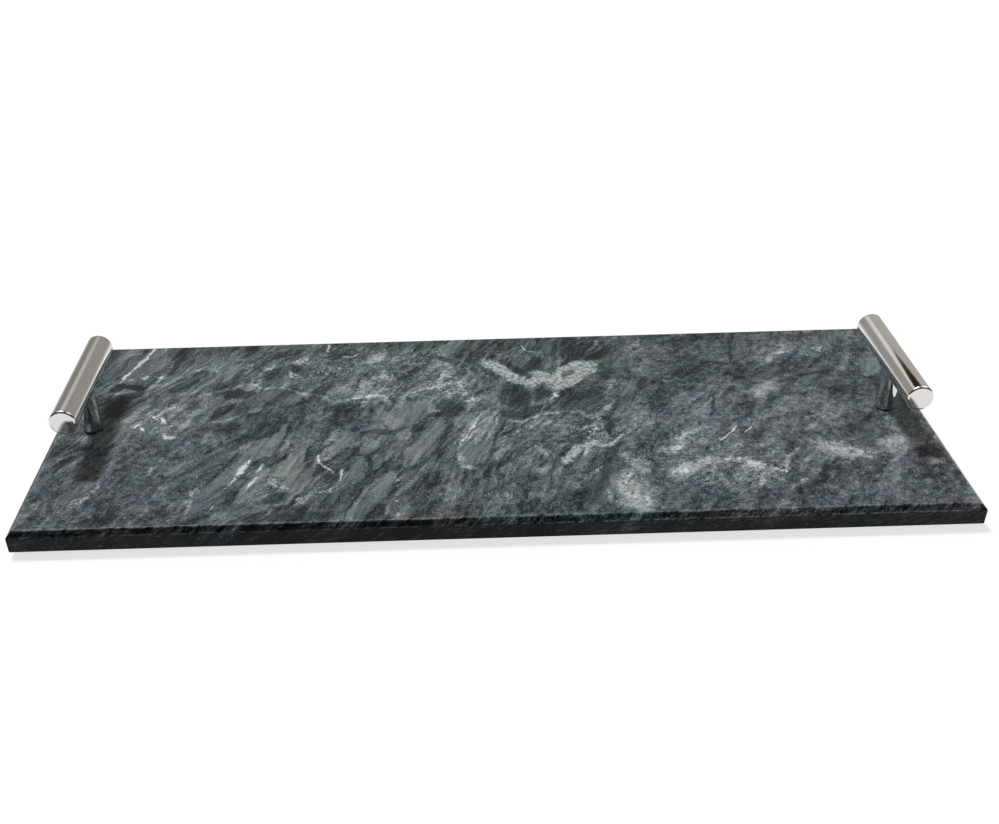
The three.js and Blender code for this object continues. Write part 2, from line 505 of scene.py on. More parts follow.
WHITE_STREAKS = (
    (2.0, ((-191, 87), (-195, 76))),
    (3.3, ((-195, 76), (-200, 61))),
    (3.0, ((-200, 61), (-204, 47))),
    (1.6, ((-122, -33), (-124, -38))),
    (3.5, ((-124, -37), (-126, -46))),
    (1.7, ((-126, -46), (-130, -57))),
    (2.5, ((-115, -37), (-117, -43))),
    (2.1, ((-117, -49), (-121, -60))),
    (1.3, ((-88, -30), (-86, -38), (-85, -40))),
    (1.6, ((-85, -40), (-80, -48))),
    (1.8, ((-75, -45), (-76, -54))),
    (1.1, ((117, -29), (122, -22), (128, -15))),
    (1.0, ((130, -22), (136, -17))),
    (1.8, ((-187, -1), (-185, 2))),
    (1.8, ((-183, -1), (-181, -3))),
    (1.8, ((-181, 54), (-184, 46))),
    (1.8, ((-191, 53), (-191, 50))),
    (2.6, ((-174, 9), (-171, 5))),
    (1.8, ((-180, 12), (-178, 9))),
    (1.8, ((-170, -8), (-168, -11))),
    (4.2, ((-168, -12), (-164, -12))),
    (1.2, ((-82, 70), (-77, 69), (-73, 73))),
    (1.2, ((-91, 84), (-92, 76))),
    (1.4, ((-16, -27), (-12, -15), (-7, -4))),
    (1.2, ((21, 77), (24, 71), (29, 69))),
    (1.0, ((-134, -70), (-135, -76))),
    (2.0, ((36, 22), (37, 20))),
)
# A lens, patch or cloud is its middle, length, width and the angle of its length from the x direction.
PALE_LENSES = (
    (-41, 7, 26, 20, 50),
    (-48, -1, 16, 13, 30),
    (-30, -12, 30, 11, 70),
    (-36, -28, 34, 13, 64),
    (-4, -8, 34, 16, 66),
    (-8, -29, 40, 15, 72),
    (-18, -3, 15, 4, 63),
    (-58, 9, 20, 6, 110),
    (-67, -45, 25, 9, 86),
    (-58, -39, 14, 5, 82),
    (-62, -21, 11, 8, 140),
    (-56, -62, 30, 12, 62),
    (-64, -78, 24, 10, 64),
    (-113, -18, 34, 7, 66),
    (-126, -38, 34, 8, 66),
    (-138, -62, 44, 11, 68),
    (-118, -55, 30, 9, 68),
    (-97, -54, 38, 13, 70),
    (-101, -36, 26, 9, 64),
    (-158, -41, 14, 8, 60),
    (-204, -58, 26, 8, 60),
    (-76, -21, 24, 7, 68),
    (215, 43, 24, 9, 62),
)
CALM_LENSES = (
    (-208, 68, 42, 18, 78),
    (-197, 62, 56, 10, 75),
    (-186, 64, 44, 9, 74),
    (-143, 53, 22, 9, 80),
    (-16, 80, 22, 9, 70),
    (-33, 79, 18, 7, 75),
    (75, 18, 44, 6, 67),
    (147, 68, 34, 8, 70),
    (200, 76, 32, 15, 60),
    (118, -1, 9, 4, 62),
    (-7, -64, 22, 9, 50),
)
DIM_LENSES = (
    (56, -55, 26, 12, 70),
    (47, -70, 24, 10, 66),
    (-113, 26, 22, 14, 150),
    (50, 12, 26, 10, 40),
    (190, -25, 30, 9, 78),
    (37, 76, 22, 8, 100),
)
DARK_PATCHES = (
    (-22, 12, 18, 12, 128),
    (-24, 4, 18, 5, 12),
    (15, 19, 24, 17, 100),
    (20, 5, 24, 11, 15),
    (28, 22, 16, 9, 60),
    (45, 15, 20, 9, 50),
    (58, 23, 18, 7, 40),
    (17, 50, 15, 8, 125),
    (28, 55, 16, 8, 80),
    (-106, -67, 15, 7, 25),
    (61, -11, 17, 5, 92),
    (-37, -9, 10, 6, 40),
    (-58, -12, 18, 5, 0),
    (-106, 57, 12, 7, 130),
    (-138, -4, 13, 10, 20),
    (-133, 30, 13, 8, 20),
    (-92, -40, 10, 4, 60),
    (-128, -66, 14, 4, 85),
    (-174, 72, 34, 5, 76),
    (-12, 70, 16, 6, 50),
    (137, 36, 14, 4, 145),
    (120, 6, 24, 2.2, 78),
    (140, 58, 10, 2.4, 95),
    (145, 78, 16, 2.4, 70),
    (-39, 78, 18, 2.6, 70),
    (-92, -82, 30, 7, 5),
    (-22, 63, 16, 5, 140),
    (-135, -41, 34, 2.4, 68),
    (-22, -14, 24, 2.6, 76),
    (-27, -30, 12, 3, 60),
    (4, -16, 26, 2.2, 72),
    (178, 36, 26, 2.4, 20),
    (186, 48, 18, 2.6, 40),
    (158, -66, 16, 2.6, 68),
    (97, 33, 18, 3, 20),
    # Where the left bar's shadow falls: painted shadow darkening, over the stone's own dark
    (-200, 22, 26, 11, 82),
)
BLACK_PATCHES = (
    (-203, 42.5, 9, 6, 60),
    (-197, 41.5, 11, 4.6, 175),
    (-207, 38, 4, 4, 90),
    (-192.5, 39, 4, 6, 90),
    # Where the left bar's shadow falls: painted shadow darkening, over the stone's own dark
    (-200, 29, 10, 3, 85),
)
DIM_PATCHES = (
    (190, 20, 18, 15, 30),
    # Where the right bar's shadow falls: painted shadow darkening
    (218, -43, 14, 10, 20),
    (181, 76, 16, 8, 40),
    (14, -73, 20, 12, 60),
    (-75, 4, 36, 24, 90),
    (2, -44, 26, 8, 20),
    (-75, -68, 24, 6, 64),
    (86, 16, 24, 10, 60),
    (110, 50, 40, 30, 30),
    (160, -64, 44, 12, 60),
    (-150, -27, 34, 14, 50),
    (-134, 76, 60, 14, 170),
    (-180, -80, 40, 8, 0),
    (88, 30, 24, 12, 60),
    (116, -56, 20, 9, 0),
    (20, 78, 70, 20, 0),
    (60, 70, 50, 24, 20),
    (-40, 82, 60, 10, 0),
    (-5, 66, 30, 14, 40),
    (148, -76, 40, 14, 10),
    (2, -60, 48, 30, 0),
    (14, -82, 44, 16, 0),
    (-142, 80, 60, 16, 0),
    (122, 80, 60, 14, 0),
    (216, -66, 26, 46, 0),
    (124, -78, 30, 16, 0),
    (34, -78, 26, 16, 60),
    (-217, -22, 22, 34, 0),
    (-126, 0, 36, 34, 0),
    (152, 44, 54, 26, 20),
)
SOFT_CLOUDS = (
    (151, 20, 26, 12, 38),
    (171, -38, 22, 12, 155),
    (182, -43, 18, 9, 10),
    (205, -34, 20, 15, 20),
    (66, -74, 36, 20, 95),
    (70, -47, 20, 11, 100),
    (-62, 66, 16, 13, 60),
    (-56, 46, 11, 8, 110),
    (95, -51, 18, 8, 25),
    (107, -46, 18, 8, 18),
    (119, -45, 14, 8, 170),
    (126, -50, 16, 7, 135),
    (216, -52, 9, 7, 0),
    (165, -18, 10, 7, 40),
    (26, -35, 9, 6, 120),
    (23, -49, 8, 7, 0),
    (53, -72, 13, 4, 80),
    (-9, 17, 9, 7, 0),
    (127, -14, 10, 5, 50),
)
HAZE = (
    (-68, 32, 34, 26, 20),
    (-14, 26, 36, 28, 130),
    (-26, 40, 30, 26, 30),
    (25, -9, 36, 16, 10),
    (180, -38, 60, 24, 10),
    (113, -54, 70, 30, 0),
    (-12, -66, 30, 20, 10),
    (96, -28, 40, 16, 45),
    (160, 58, 34, 18, 40),
    (-211, -10, 20, 8, 10),
    (-218, -30, 20, 7, 60),
    (224, -31, 12, 7, 40),
    (-105, 67, 14, 6, 60),
    (-106, 49, 14, 6, 120),
    (66, -72, 30, 18, 95),
    (-2, 0, 60, 46, 66),
    (-37, 8, 50, 40, 70),
    (14, 4, 44, 34, 20),
    (214, -20, 22, 44, 0),
    (-80, -22, 40, 26, 70),
    (114, 2, 50, 28, 40),
    (78, -11, 54, 22, 20),
    (172, 0, 34, 28, 0),
    (126, -33, 34, 20, 0),
    (-44, 34, 44, 24, 10),
    (-182, 8, 40, 26, 50),
    (-106, -54, 40, 26, 66),
)
CRUMBS = (
    (-55, 48, 9, 7, 100),
    (-60, 44, 12, 5, 40),
    (-64, 24, 18, 4, 5),
    (-67, 17, 6, 5, 60),
    (-57, 30, 4, 6, 90),
    (-84, 56, 13, 8, 20),
    (-93, 53, 10, 4, 70),
    (-104, 67, 9, 6, 0),
    (-105, 50, 9, 8, 0),
    (-40, 61, 10, 4, 160),
    (-25, 30, 5, 6, 90),
    (-8, 18, 8, 5, 0),
    (-135, 61, 10, 4, 100),
    (-152, 60, 4, 4, 0),
    (22, -28, 6, 5, 0),
    (57, -7, 8, 5, 60),
    (52, -17, 14, 6, 60),
    (99, -38, 9, 5, 130),
    (99, 31, 5, 3, 110),
    (68, 28, 10, 4, 8),
    (51, -50, 9, 4, 45),
    (65, -58, 9, 6, 100),
    (-104, -58, 11, 6, 150),
    (-109, -51, 9, 6, 100),
    (-83, -63, 15, 6, 10),
    (-198, -63, 11, 5, 60),
    (-172, 6, 9, 6, 110),
    (-179, 10, 7, 5, 40),
    (-166, -31, 7, 5, 0),
    (-145, -60, 8, 5, 80),
    (-194, 51, 12, 5, 10),
    (-46, -57, 9, 4, 80),
    (-46, -73, 6, 4, 80),
    (-47, -83, 6, 4, 80),
    (149, -65, 3, 4, 90),
    (164, -63, 3, 4, 0),
    (149, -79, 3, 4, 0),
    (113, -15, 3, 5, 90),
    (134, -10, 6, 4, 60),
    (137, -53, 14, 4, 160),
    (191, 63, 10, 6, 60),
    (183, 58, 7, 4, 20),
)
GRANULAR = (
    (-190, -66, 120, 60, 0),
    (-84, 2, 60, 44, 0),
    (-170, -22, 70, 30, 20),
    (30, -74, 110, 40, 0),
    (40, -20, 50, 40, 0),
    (150, 0, 180, 230, 0),
    (-60, 62, 60, 50, 0),
)
NETTING = (
    (-30, 45, 110, 70, 0),
    (-60, 68, 70, 36, 0),
    (-110, 60, 90, 50, 0),
    (30, -20, 70, 40, 20),
    (100, -45, 90, 40, 0),
)
# Warm patches of the stone, and painted warm tints where the bars' cast shadows fall
WARM_PATCHES_AND_SHADOW_TINTS = (
    (190, 20, 30, 24, 30),
    # Where the right bar's shadow falls: a painted warm shadow tint
    (219, -43, 24, 18, 20),
    (170, 38, 36, 12, 20),
    (176, -66, 30, 16, 30),
    (184, 77, 36, 18, 40),
    (150, 66, 34, 12, 70),
    (47, 44, 14, 8, 40),
    # These two lie under the left bar: a painted warm tint of its cast shadow
    (-202, 25, 30, 16, 80),
    (-203, -35, 34, 18, 90),
)

# A mark has faded out at this many times its drawn half length and half width
MARK_SPREAD = 1.45
# The slab's upper corner, and how far its layers slip sideways with each millimetre of depth
SLAB_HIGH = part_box("marble_slab")[1] / MM
LAYER_DIP = (1.2, 0.6, 0.0)
CHAMFER_DEPTH = TOP_CHAMFER / MM

# The stone's patterns, in millimetres
BEND_SIZE = 80.0
BEND_REACH = 40.0
HUE_SIZE = 34.0
CLOUD_SIZE = 24.0
WRINKLE_SIZE = 14.0
STAIN_SIZE = 9.0
MOTTLE_SIZE = 3.0
RAGGED_SIZE = 2.2
CRYSTAL_SIZE = 0.8
# A drawn-out pattern is its angle from the x direction, and the length and width of its pieces.
STEEP_LAYERS = (62.0, 25.0, 3.2)
SLANTING_LAYERS = (43.0, 15.0, 3.6)
FIBRES = (65.0, 36.0, 2.4)
FLAKES = (60.0, 22.0, 7.0)
LONG_MOTTLE = (60.0, 7.0, 2.2)
HAIRS = (55.0, 20.0, 6.0)
CROSSING_HAIRS = (20.0, 14.0, 7.0)
CRACKS = (60.0, 34.0, 8.0)

# Tones, on the scale of STONE_TONES: of the ground at the left and right, of the patches and of the veins
GROUND_TONES = (0.345, 0.363)
LENS_TONES = ((DIM_LENSES, 0.325), (CALM_LENSES, 0.40), (PALE_LENSES, 0.482))
DARK_TONE = 0.233
BLACK_TONE = 0.175
MILK_TONE = 0.665
# How far a mark raises or lowers the tone
LEFT_LIFT = 0.011
WISP_LIFT = 0.17
CRACK_DROP = 0.12
SPARK_LIFT = 0.30
HAZE_LIFT = 0.10
DIM_DROP = 0.075
LENS_RIM_DROP = 0.07
CLOUD_LIFT = 0.23
VEIN_LIFT = 0.20
VEIN_GAP_DROP = 0.25
STREAK_LIFT = 0.42
CRUMB_LIFT = 0.36

# The stone's colours by tone, from its darkest patches to its white streaks
STONE_TONES = (
    (0.15, (0.0060, 0.0080, 0.0100)),
    (0.22, (0.0165, 0.0235, 0.0275)),
    (0.27, (0.0360, 0.0500, 0.0560)),
    (0.33, (0.0610, 0.0772, 0.0860)),
    (0.385, (0.0935, 0.1122, 0.1222)),
    (0.45, (0.139, 0.164, 0.171)),
    (0.53, (0.212, 0.243, 0.249)),
    (0.63, (0.326, 0.354, 0.358)),
    (0.745, (0.490, 0.523, 0.523)),
    (0.86, (0.695, 0.722, 0.722)),
)
# Colours that the stone's own colour is multiplied by
# Warm stain colour, also used as the painted warm tint in the bars' shadows
WARM_STAIN_AND_SHADOW_TINT = (1.10, 0.99, 0.94, 1.0)
WARM_CAST = (1.025, 1.005, 1.01, 1.0)
COOL_CAST = (0.955, 1.015, 1.02, 1.0)
GREENISH = (0.99, 1.0, 0.99, 1.0)
PURPLISH = (1.045, 1.0, 1.035, 1.0)
EDGE_WARM_CAST = (1.06, 0.98, 1.01, 1.0)
EDGE_COOL_CAST = (0.85, 1.03, 1.15, 1.0)
STAIN_SWING = (0.54, 0.0, 0.52)
# Pale colour for the painted highlight lines along the arrises, and for the paler face at the right
PALE_EDGE_MARK = (0.30, 0.31, 0.31, 1.0)

HALF = (0.5, 0.5, 0.5)
ONE = (1.0, 1.0, 1.0)


def paint_ramp(ramp, stops):
    while len(ramp.elements) < len(stops):
        ramp.elements.new(1.0)
    for element, (position, colour) in zip(ramp.elements, stops):
        element.position = position
        element.color = (*colour, 1.0)


def along(strokes):
    """The elongated marks that strokes are made of: middle x and y, length, width and angle."""
    for width, points in strokes:
        for start, end in zip(points, points[1:]):
            run = Vector(end) - Vector(start)
            centre = (Vector(start) + Vector(end)) / 2
            angle = math.degrees(math.atan2(run.y, run.x))
            yield (centre.x, centre.y, run.length + width * 1.2, width, angle)


def inwardness(tree, where, marks):
    """How far inside the nearest mark a place is: 1 in its middle, 0 a little outside its edge."""
    reach = None
    for x, y, length, width, angle in marks:
        mark = add_node(tree, "ShaderNodeTexGradient", {"Vector": where}, gradient_type="SPHERICAL")
        mark.texture_mapping.vector_type = "TEXTURE"
        mark.texture_mapping.translation = (x, y, 0.0)
        mark.texture_mapping.rotation = (0.0, 0.0, math.radians(angle))
        mark.texture_mapping.scale = (length / 2 * MARK_SPREAD, width / 2 * MARK_SPREAD, 1.0)
        inside = mark.outputs["Fac"]
        reach = inside if reach is None else calc(tree, "MAXIMUM", reach, inside)
    return reach


def drawn_out(tree, where, pattern):
    """A place scaled so that a pattern on it is drawn out along the stone's layers."""
    angle, length, width = pattern
    inputs = {
        "Vector": where,
        "Rotation": (0.0, 0.0, math.radians(angle)),
        "Scale": (length, width, width * 2),
    }
    return add_node(tree, "ShaderNodeMapping", inputs, vector_type="TEXTURE").outputs[0]


def grain(tree, where, pattern, detail):
    """Noise drawn out along the stone's layers."""
    return noise(tree, drawn_out(tree, where, pattern), 1.0, detail, 0.6).outputs[0]


def flakes(tree, where, pattern):
    """Slim flakes along the stone's layers, each with a shade of its own."""
    cells = {"Vector": drawn_out(tree, where, pattern), "Scale": 1.0, "Smoothness": 0.2}
    cell = add_node(tree, "ShaderNodeTexVoronoi", cells, feature="SMOOTH_F1", voronoi_dimensions="3D")
    return add_node(tree, "ShaderNodeSeparateXYZ", {0: cell.outputs["Color"]}).outputs[0]


def centred(tree, value, amount):
    """Noise as a swing of plus or minus about half the amount."""
    return calc(tree, "MULTIPLY", calc(tree, "SUBTRACT", value, 0.5), amount)


def swing(tree, tone, value, amount):
    """A tone that a noise pushes up and down."""
    return calc(tree, "ADD", tone, centred(tree, value, amount))


def lines(tree, where, pattern, thickness):
    """Thin lines that wander along the stone's layers."""
    ridge = calc(tree, "ABSOLUTE", centred(tree, grain(tree, where, pattern, 3.0), 1.0))
    return ease(tree, ridge, thickness, 0.0)


def colour_noise(tree, where, size, detail, roughness=0.5):
    """Noise with three parts of its own, each of which swings about zero."""
    cloudy = noise(tree, where, size, detail, roughness).outputs["Color"]
    return vector_calc(tree, "SUBTRACT", cloudy, HALF)


def nudged(tree, where, push, reach):
    """A place pushed about by a noise."""
    return vector_calc(tree, "ADD", where, vector_calc(tree, "MULTIPLY", push, (reach, reach, reach)))


def flat_plan(tree, where):
    return vector_calc(tree, "MULTIPLY", where, (1.0, 1.0, 0.0))


def places_on_slab(tree):
    """Where a point lies on the slab, plain and pushed about by the stone's bends and wrinkles."""
    on_slab = millimetres(tree)
    x, y, z = add_node(tree, "ShaderNodeSeparateXYZ", {0: on_slab}).outputs
    depth = calc(tree, "SUBTRACT", SLAB_HIGH.z, z)
    place = vector_calc(tree, "ADD", on_slab, vector_calc(tree, "MULTIPLY", LAYER_DIP, depth))
    wrinkle = colour_noise(tree, place, WRINKLE_SIZE, 5.0, 0.62)
    bend = colour_noise(tree, place, BEND_SIZE, 1.0)
    bent = nudged(tree, nudged(tree, place, bend, BEND_REACH), wrinkle, 7.0)
    shifted = nudged(tree, place, wrinkle, 14.0)
    return SimpleNamespace(
        on_slab=on_slab,
        x=x,
        y=y,
        depth=depth,
        place=place,
        bent=bent,
        shifted=shifted,
        plan=flat_plan(tree, shifted),
        calm_plan=flat_plan(tree, nudged(tree, place, wrinkle, 8.0)),
        flaky=nudged(tree, place, wrinkle, 7.0),
    )


def stone_patterns(tree, at):
    """The noises that the stone's tone and colour are made of."""
    clouds = noise(tree, at.shifted, CLOUD_SIZE, 4.0, 0.6, 0.3).outputs[0]
    crystals = noise(tree, at.place, CRYSTAL_SIZE, 1.5).outputs[0]
    ragged = noise(tree, at.place, RAGGED_SIZE, 4.0, 0.7).outputs[0]
    steep = grain(tree, at.bent, STEEP_LAYERS, 6.0)
    slanting = grain(tree, at.bent, SLANTING_LAYERS, 6.0)
    fibres = grain(tree, at.bent, FIBRES, 4.0)
    flake = flakes(tree, at.flaky, FLAKES)
    rightward = ease(tree, at.x, 20.0, 130.0)
    layers = mix(tree, ease(tree, rightward, 0.0, 1.0, 0.15, 0.75), steep, slanting)
    round_mottle = noise(tree, at.place, MOTTLE_SIZE, 3.0, 0.65).outputs[0]
    long_mottle = grain(tree, at.bent, LONG_MOTTLE, 3.0)
    granular = ease(tree, inwardness(tree, at.plan, GRANULAR), 0.0, 0.45)
    mottle = mix(tree, ease(tree, granular, 0.0, 1.0, 0.40, 0.95), long_mottle, round_mottle)
    return SimpleNamespace(
        clouds=clouds,
        crystals=crystals,
        ragged=ragged,
        fibres=fibres,
        flake=flake,
        rightward=rightward,
        layers=layers,
        granular=granular,
        mottle=mottle,
    )


def ground_tone(tree, at, stone):
    """The stone between its marks: clouds, layers, mottle, pale hairs, dark cracks, sparks and haze."""
    ground = swing(tree, centred(tree, stone.clouds, 0.36), stone.layers, 0.80)
    ground = swing(tree, ground, stone.flake, 0.19)
    ground = calc(tree, "MULTIPLY", ground, ease(tree, stone.granular, 0.0, 1.0, 1.0, 0.70))
    tone = calc(tree, "ADD", ground, ease(tree, stone.rightward, 0.0, 1.0, *GROUND_TONES))
    tone = calc(tree, "ADD", tone, ease(tree, at.x, -50.0, -140.0, 0.0, LEFT_LIFT))
    tone = swing(tree, tone, stone.mottle, 0.62)
    tone = swing(tree, tone, stone.crystals, 0.50)

    netted = calc(tree, "ADD", ease(tree, inwardness(tree, at.plan, NETTING), 0.0, 0.6), 0.35)
    netted = calc(tree, "MULTIPLY", netted, ease(tree, stone.ragged, 0.40, 0.62))
    hairs = lines(tree, at.shifted, HAIRS, 0.030)
    crossing = lines(tree, at.shifted, CROSSING_HAIRS, 0.024)
    wisps = calc(tree, "MULTIPLY", calc(tree, "MAXIMUM", hairs, crossing), netted)
    tone = calc(tree, "ADD", tone, calc(tree, "MULTIPLY", wisps, WISP_LIFT))

    cracks = lines(tree, at.bent, CRACKS, 0.020)
    cracks = calc(tree, "MULTIPLY", cracks, ease(tree, stone.clouds, 0.38, 0.56))
    tone = calc(tree, "SUBTRACT", tone, calc(tree, "MULTIPLY", cracks, CRACK_DROP))

    sparks = ease(tree, stone.crystals, 0.66, 0.78)
    sparks = calc(tree, "MULTIPLY", sparks, ease(tree, stone.mottle, 0.40, 0.60))
    tone = calc(tree, "ADD", tone, calc(tree, "MULTIPLY", sparks, SPARK_LIFT))

    hazy = ease(tree, inwardness(tree, at.plan, HAZE), 0.0, 0.8, 0.0, HAZE_LIFT)
    hazy = calc(tree, "MULTIPLY", hazy, ease(tree, stone.ragged, 0.3, 0.65, 0.2, 1.4))
    return calc(tree, "ADD", tone, hazy)


def marked_tone(tree, at, stone, tone):
    """The tone with the stone's marks on it, some dark marks under the bars being painted shadow, and how
    milky a place is.
    """
    torn = calc(tree, "ADD", centred(tree, stone.ragged, 3.2), 1.0)
    chipped = swing(tree, swing(tree, 1.0, stone.fibres, 1.4), stone.ragged, 2.8)
    chipped = calc(tree, "MAXIMUM", chipped, 0.45)
    feathered = swing(tree, 1.0, stone.ragged, 1.6)

    def shape_of(marks, plan, edge):
        return calc(tree, "MULTIPLY", inwardness(tree, plan, marks), edge)

    dim = shape_of(DIM_PATCHES, at.plan, torn)
    tone = calc(tree, "SUBTRACT", tone, ease(tree, dim, 0.1, 0.7, 0.0, DIM_DROP))

    streaky = swing(tree, centred(tree, stone.fibres, 0.66), stone.crystals, 0.38)
    streaky = swing(tree, streaky, stone.flake, 0.10)
    for marks, level in LENS_TONES:
        lens = shape_of(marks, at.calm_plan, chipped)
        rim = calc(tree, "MULTIPLY", ease(tree, lens, 0.06, 0.22), ease(tree, lens, 0.34, 0.22))
        tone = calc(tree, "SUBTRACT", tone, calc(tree, "MULTIPLY", rim, LENS_RIM_DROP))
        fill = calc(tree, "ADD", streaky, level)
        tone = mix(tree, ease(tree, lens, 0.14, 0.46, 0.0, 0.68), tone, fill)

    dark = shape_of(DARK_PATCHES, at.calm_plan, chipped)
    dark_tone = swing(tree, swing(tree, DARK_TONE, stone.mottle, 0.62), stone.layers, 0.42)
    dark_tone = swing(tree, dark_tone, stone.crystals, 0.44)
    tone = mix(tree, ease(tree, dark, 0.12, 0.46, 0.0, 0.82), tone, dark_tone)
    black = shape_of(BLACK_PATCHES, at.calm_plan, torn)
    black_tone = swing(tree, swing(tree, BLACK_TONE, stone.mottle, 0.50), stone.layers, 0.30)
    tone = mix(tree, ease(tree, black, 0.10, 0.45, 0.0, 0.94), tone, black_tone)

    cloud = shape_of(SOFT_CLOUDS, at.plan, feathered)
    tone = calc(tree, "ADD", tone, ease(tree, cloud, 0.02, 0.90, 0.0, CLOUD_LIFT))
    vein = shape_of(along(PALE_VEINS), at.plan, torn)
    tone = calc(tree, "ADD", tone, ease(tree, vein, 0.05, 0.9, 0.0, VEIN_LIFT))

    milk = ease(tree, shape_of(along(MILKY_VEINS), at.calm_plan, torn), 0.06, 0.56, 0.0, 0.9)
    milky_tone = swing(tree, swing(tree, MILK_TONE, stone.ragged, 1.2), stone.crystals, 0.34)
    gaps = ease(tree, inwardness(tree, at.plan, VEIN_GAPS), 0.1, 0.6, 0.0, VEIN_GAP_DROP)
    tone = mix(tree, milk, tone, calc(tree, "SUBTRACT", milky_tone, gaps))

    white = shape_of(along(WHITE_STREAKS), at.calm_plan, torn)
    tone = calc(tree, "ADD", tone, ease(tree, white, 0.12, 0.75, 0.0, STREAK_LIFT))
    crumbly = ease(tree, swing(tree, stone.ragged, stone.crystals, 0.25), 0.46, 0.70)
    crumbs = ease(tree, inwardness(tree, at.plan, CRUMBS), 0.05, 0.6)
    crumbs = calc(tree, "MULTIPLY", crumbs, crumbly)
    tone = calc(tree, "ADD", tone, calc(tree, "MULTIPLY", crumbs, CRUMB_LIFT))
    return tone, milk


def stone_colour(tree, at, tone, milk, hue):
    """The stone's colour for its tone, with warm and cool shifts, a painted warm tint in the bars'
    shadows, stains and purplish near corners.
    """
    toned = add_node(tree, "ShaderNodeValToRGB", {0: tone})
    paint_ramp(toned.color_ramp, STONE_TONES)
    # Warm stains and milky veins, and a painted warm tint where the bars' shadows fall
    warmth_and_shadow_tint = ease(tree, inwardness(tree, at.plan, WARM_PATCHES_AND_SHADOW_TINTS), 0.0, 0.7, 0.0, 0.6)
    warmth_and_shadow_tint = calc(tree, "MAXIMUM", warmth_and_shadow_tint, calc(tree, "MULTIPLY", milk, 0.18))
    colour = mix_colour(tree, warmth_and_shadow_tint, toned.outputs[0], WARM_STAIN_AND_SHADOW_TINT, "MULTIPLY")
    cast = mix_colour(tree, ease(tree, hue, 0.3, 0.7), WARM_CAST, COOL_CAST)
    colour = mix_colour(tree, 1.0, colour, cast, "MULTIPLY")

    stain = colour_noise(tree, at.shifted, STAIN_SIZE, 3.0, 0.6)
    stain = vector_calc(tree, "MULTIPLY", stain, STAIN_SWING)
    stain = vector_calc(tree, "MULTIPLY", stain, ease(tree, tone, 0.42, 0.62, 1.0, 0.4))
    colour = vector_calc(tree, "MULTIPLY", colour, vector_calc(tree, "ADD", stain, ONE))

    outer = calc(tree, "MAXIMUM", ease(tree, at.x, 30.0, 170.0), ease(tree, at.x, -110.0, -200.0))
    outer = calc(tree, "MULTIPLY", outer, ease(tree, at.y, 50.0, -30.0, 0.35, 1.0))
    return mix_colour(tree, 1.0, colour, mix_colour(tree, outer, GREENISH, PURPLISH), "MULTIPLY")


def edge_colour(tree, at, stone, tone, hue, colour):
    """The colour on the sawn edges: chamfer and face darkened, partly painted shade, darker at the left,
    with level bedding; and painted highlight lines along the arrises, with a paler face at the right.
    """
    normal = add_node(tree, "ShaderNodeNewGeometry").outputs["Normal"]
    upward = calc(tree, "ABSOLUTE", add_node(tree, "ShaderNodeSeparateXYZ", {0: normal}).outputs[2])
    # The chamfer and face take a darker colour by which way they face: partly painted shade
    edge = ease(tree, upward, 0.95, 0.80)
    upright = ease(tree, upward, 0.60, 0.30)
    level_layers = vector_calc(tree, "MULTIPLY", at.on_slab, (0.05, 0.05, 0.9))
    bedding = noise(tree, level_layers, 1.0, 4.0, 0.6).outputs[0]
    edge_tone = swing(tree, mix(tree, 0.45, tone, 0.40), bedding, 0.45)
    on_chamfer = ease(tree, edge_tone, 0.28, 0.58, 0.5, 1.6)
    # Painted shade: the chamfer darker towards the left
    on_chamfer = calc(tree, "MULTIPLY", on_chamfer, ease(tree, at.x, -120.0, 20.0, 0.33, 0.70))
    on_face = ease(tree, edge_tone, 0.26, 0.56, 0.25, 1.05)
    shade = mix(tree, edge, 1.0, mix(tree, upright, on_chamfer, on_face))
    colour = vector_calc(tree, "MULTIPLY", colour, shade)
    cast = mix_colour(tree, ease(tree, hue, 0.38, 0.62), EDGE_WARM_CAST, EDGE_COOL_CAST)
    colour = mix_colour(tree, edge, colour, cast, "MULTIPLY")

    # Painted highlight lines along the upper and lower arrises of the chamfer, and a paler face at the
    # right
    past_x = calc(tree, "SUBTRACT", calc(tree, "ABSOLUTE", at.x), SLAB_HIGH.x - CHAMFER_DEPTH)
    past_y = calc(tree, "SUBTRACT", calc(tree, "ABSOLUTE", at.y), SLAB_HIGH.y - CHAMFER_DEPTH)
    past_top = calc(tree, "ABSOLUTE", calc(tree, "MAXIMUM", past_x, past_y))
    upper = calc(tree, "MULTIPLY", ease(tree, past_top, 0.8, 0.1), ease(tree, at.depth, 1.0, 0.3))
    below_chamfer = calc(tree, "ABSOLUTE", calc(tree, "SUBTRACT", at.depth, CHAMFER_DEPTH))
    lower = ease(tree, below_chamfer, 0.5, 0.1, 0.0, 0.8)
    lower = calc(tree, "MULTIPLY", lower, ease(tree, at.x, -50.0, 180.0, 1.0, 2.6))
    pale_face = ease(tree, at.x, 90.0, 150.0, 0.0, 0.60)
    pale_face = calc(tree, "MULTIPLY", pale_face, ease(tree, at.depth, 6.5, 2.8))
    lower = calc(tree, "MAXIMUM", lower, calc(tree, "MULTIPLY", pale_face, upright))
    pale_edge_marks = calc(tree, "MAXIMUM", upper, lower)
    pale_edge_marks = calc(tree, "MULTIPLY", pale_edge_marks, ease(tree, stone.mottle, 0.38, 0.62))
    return mix_colour(tree, calc(tree, "MULTIPLY", pale_edge_marks, 0.6), colour, PALE_EDGE_MARK), edge


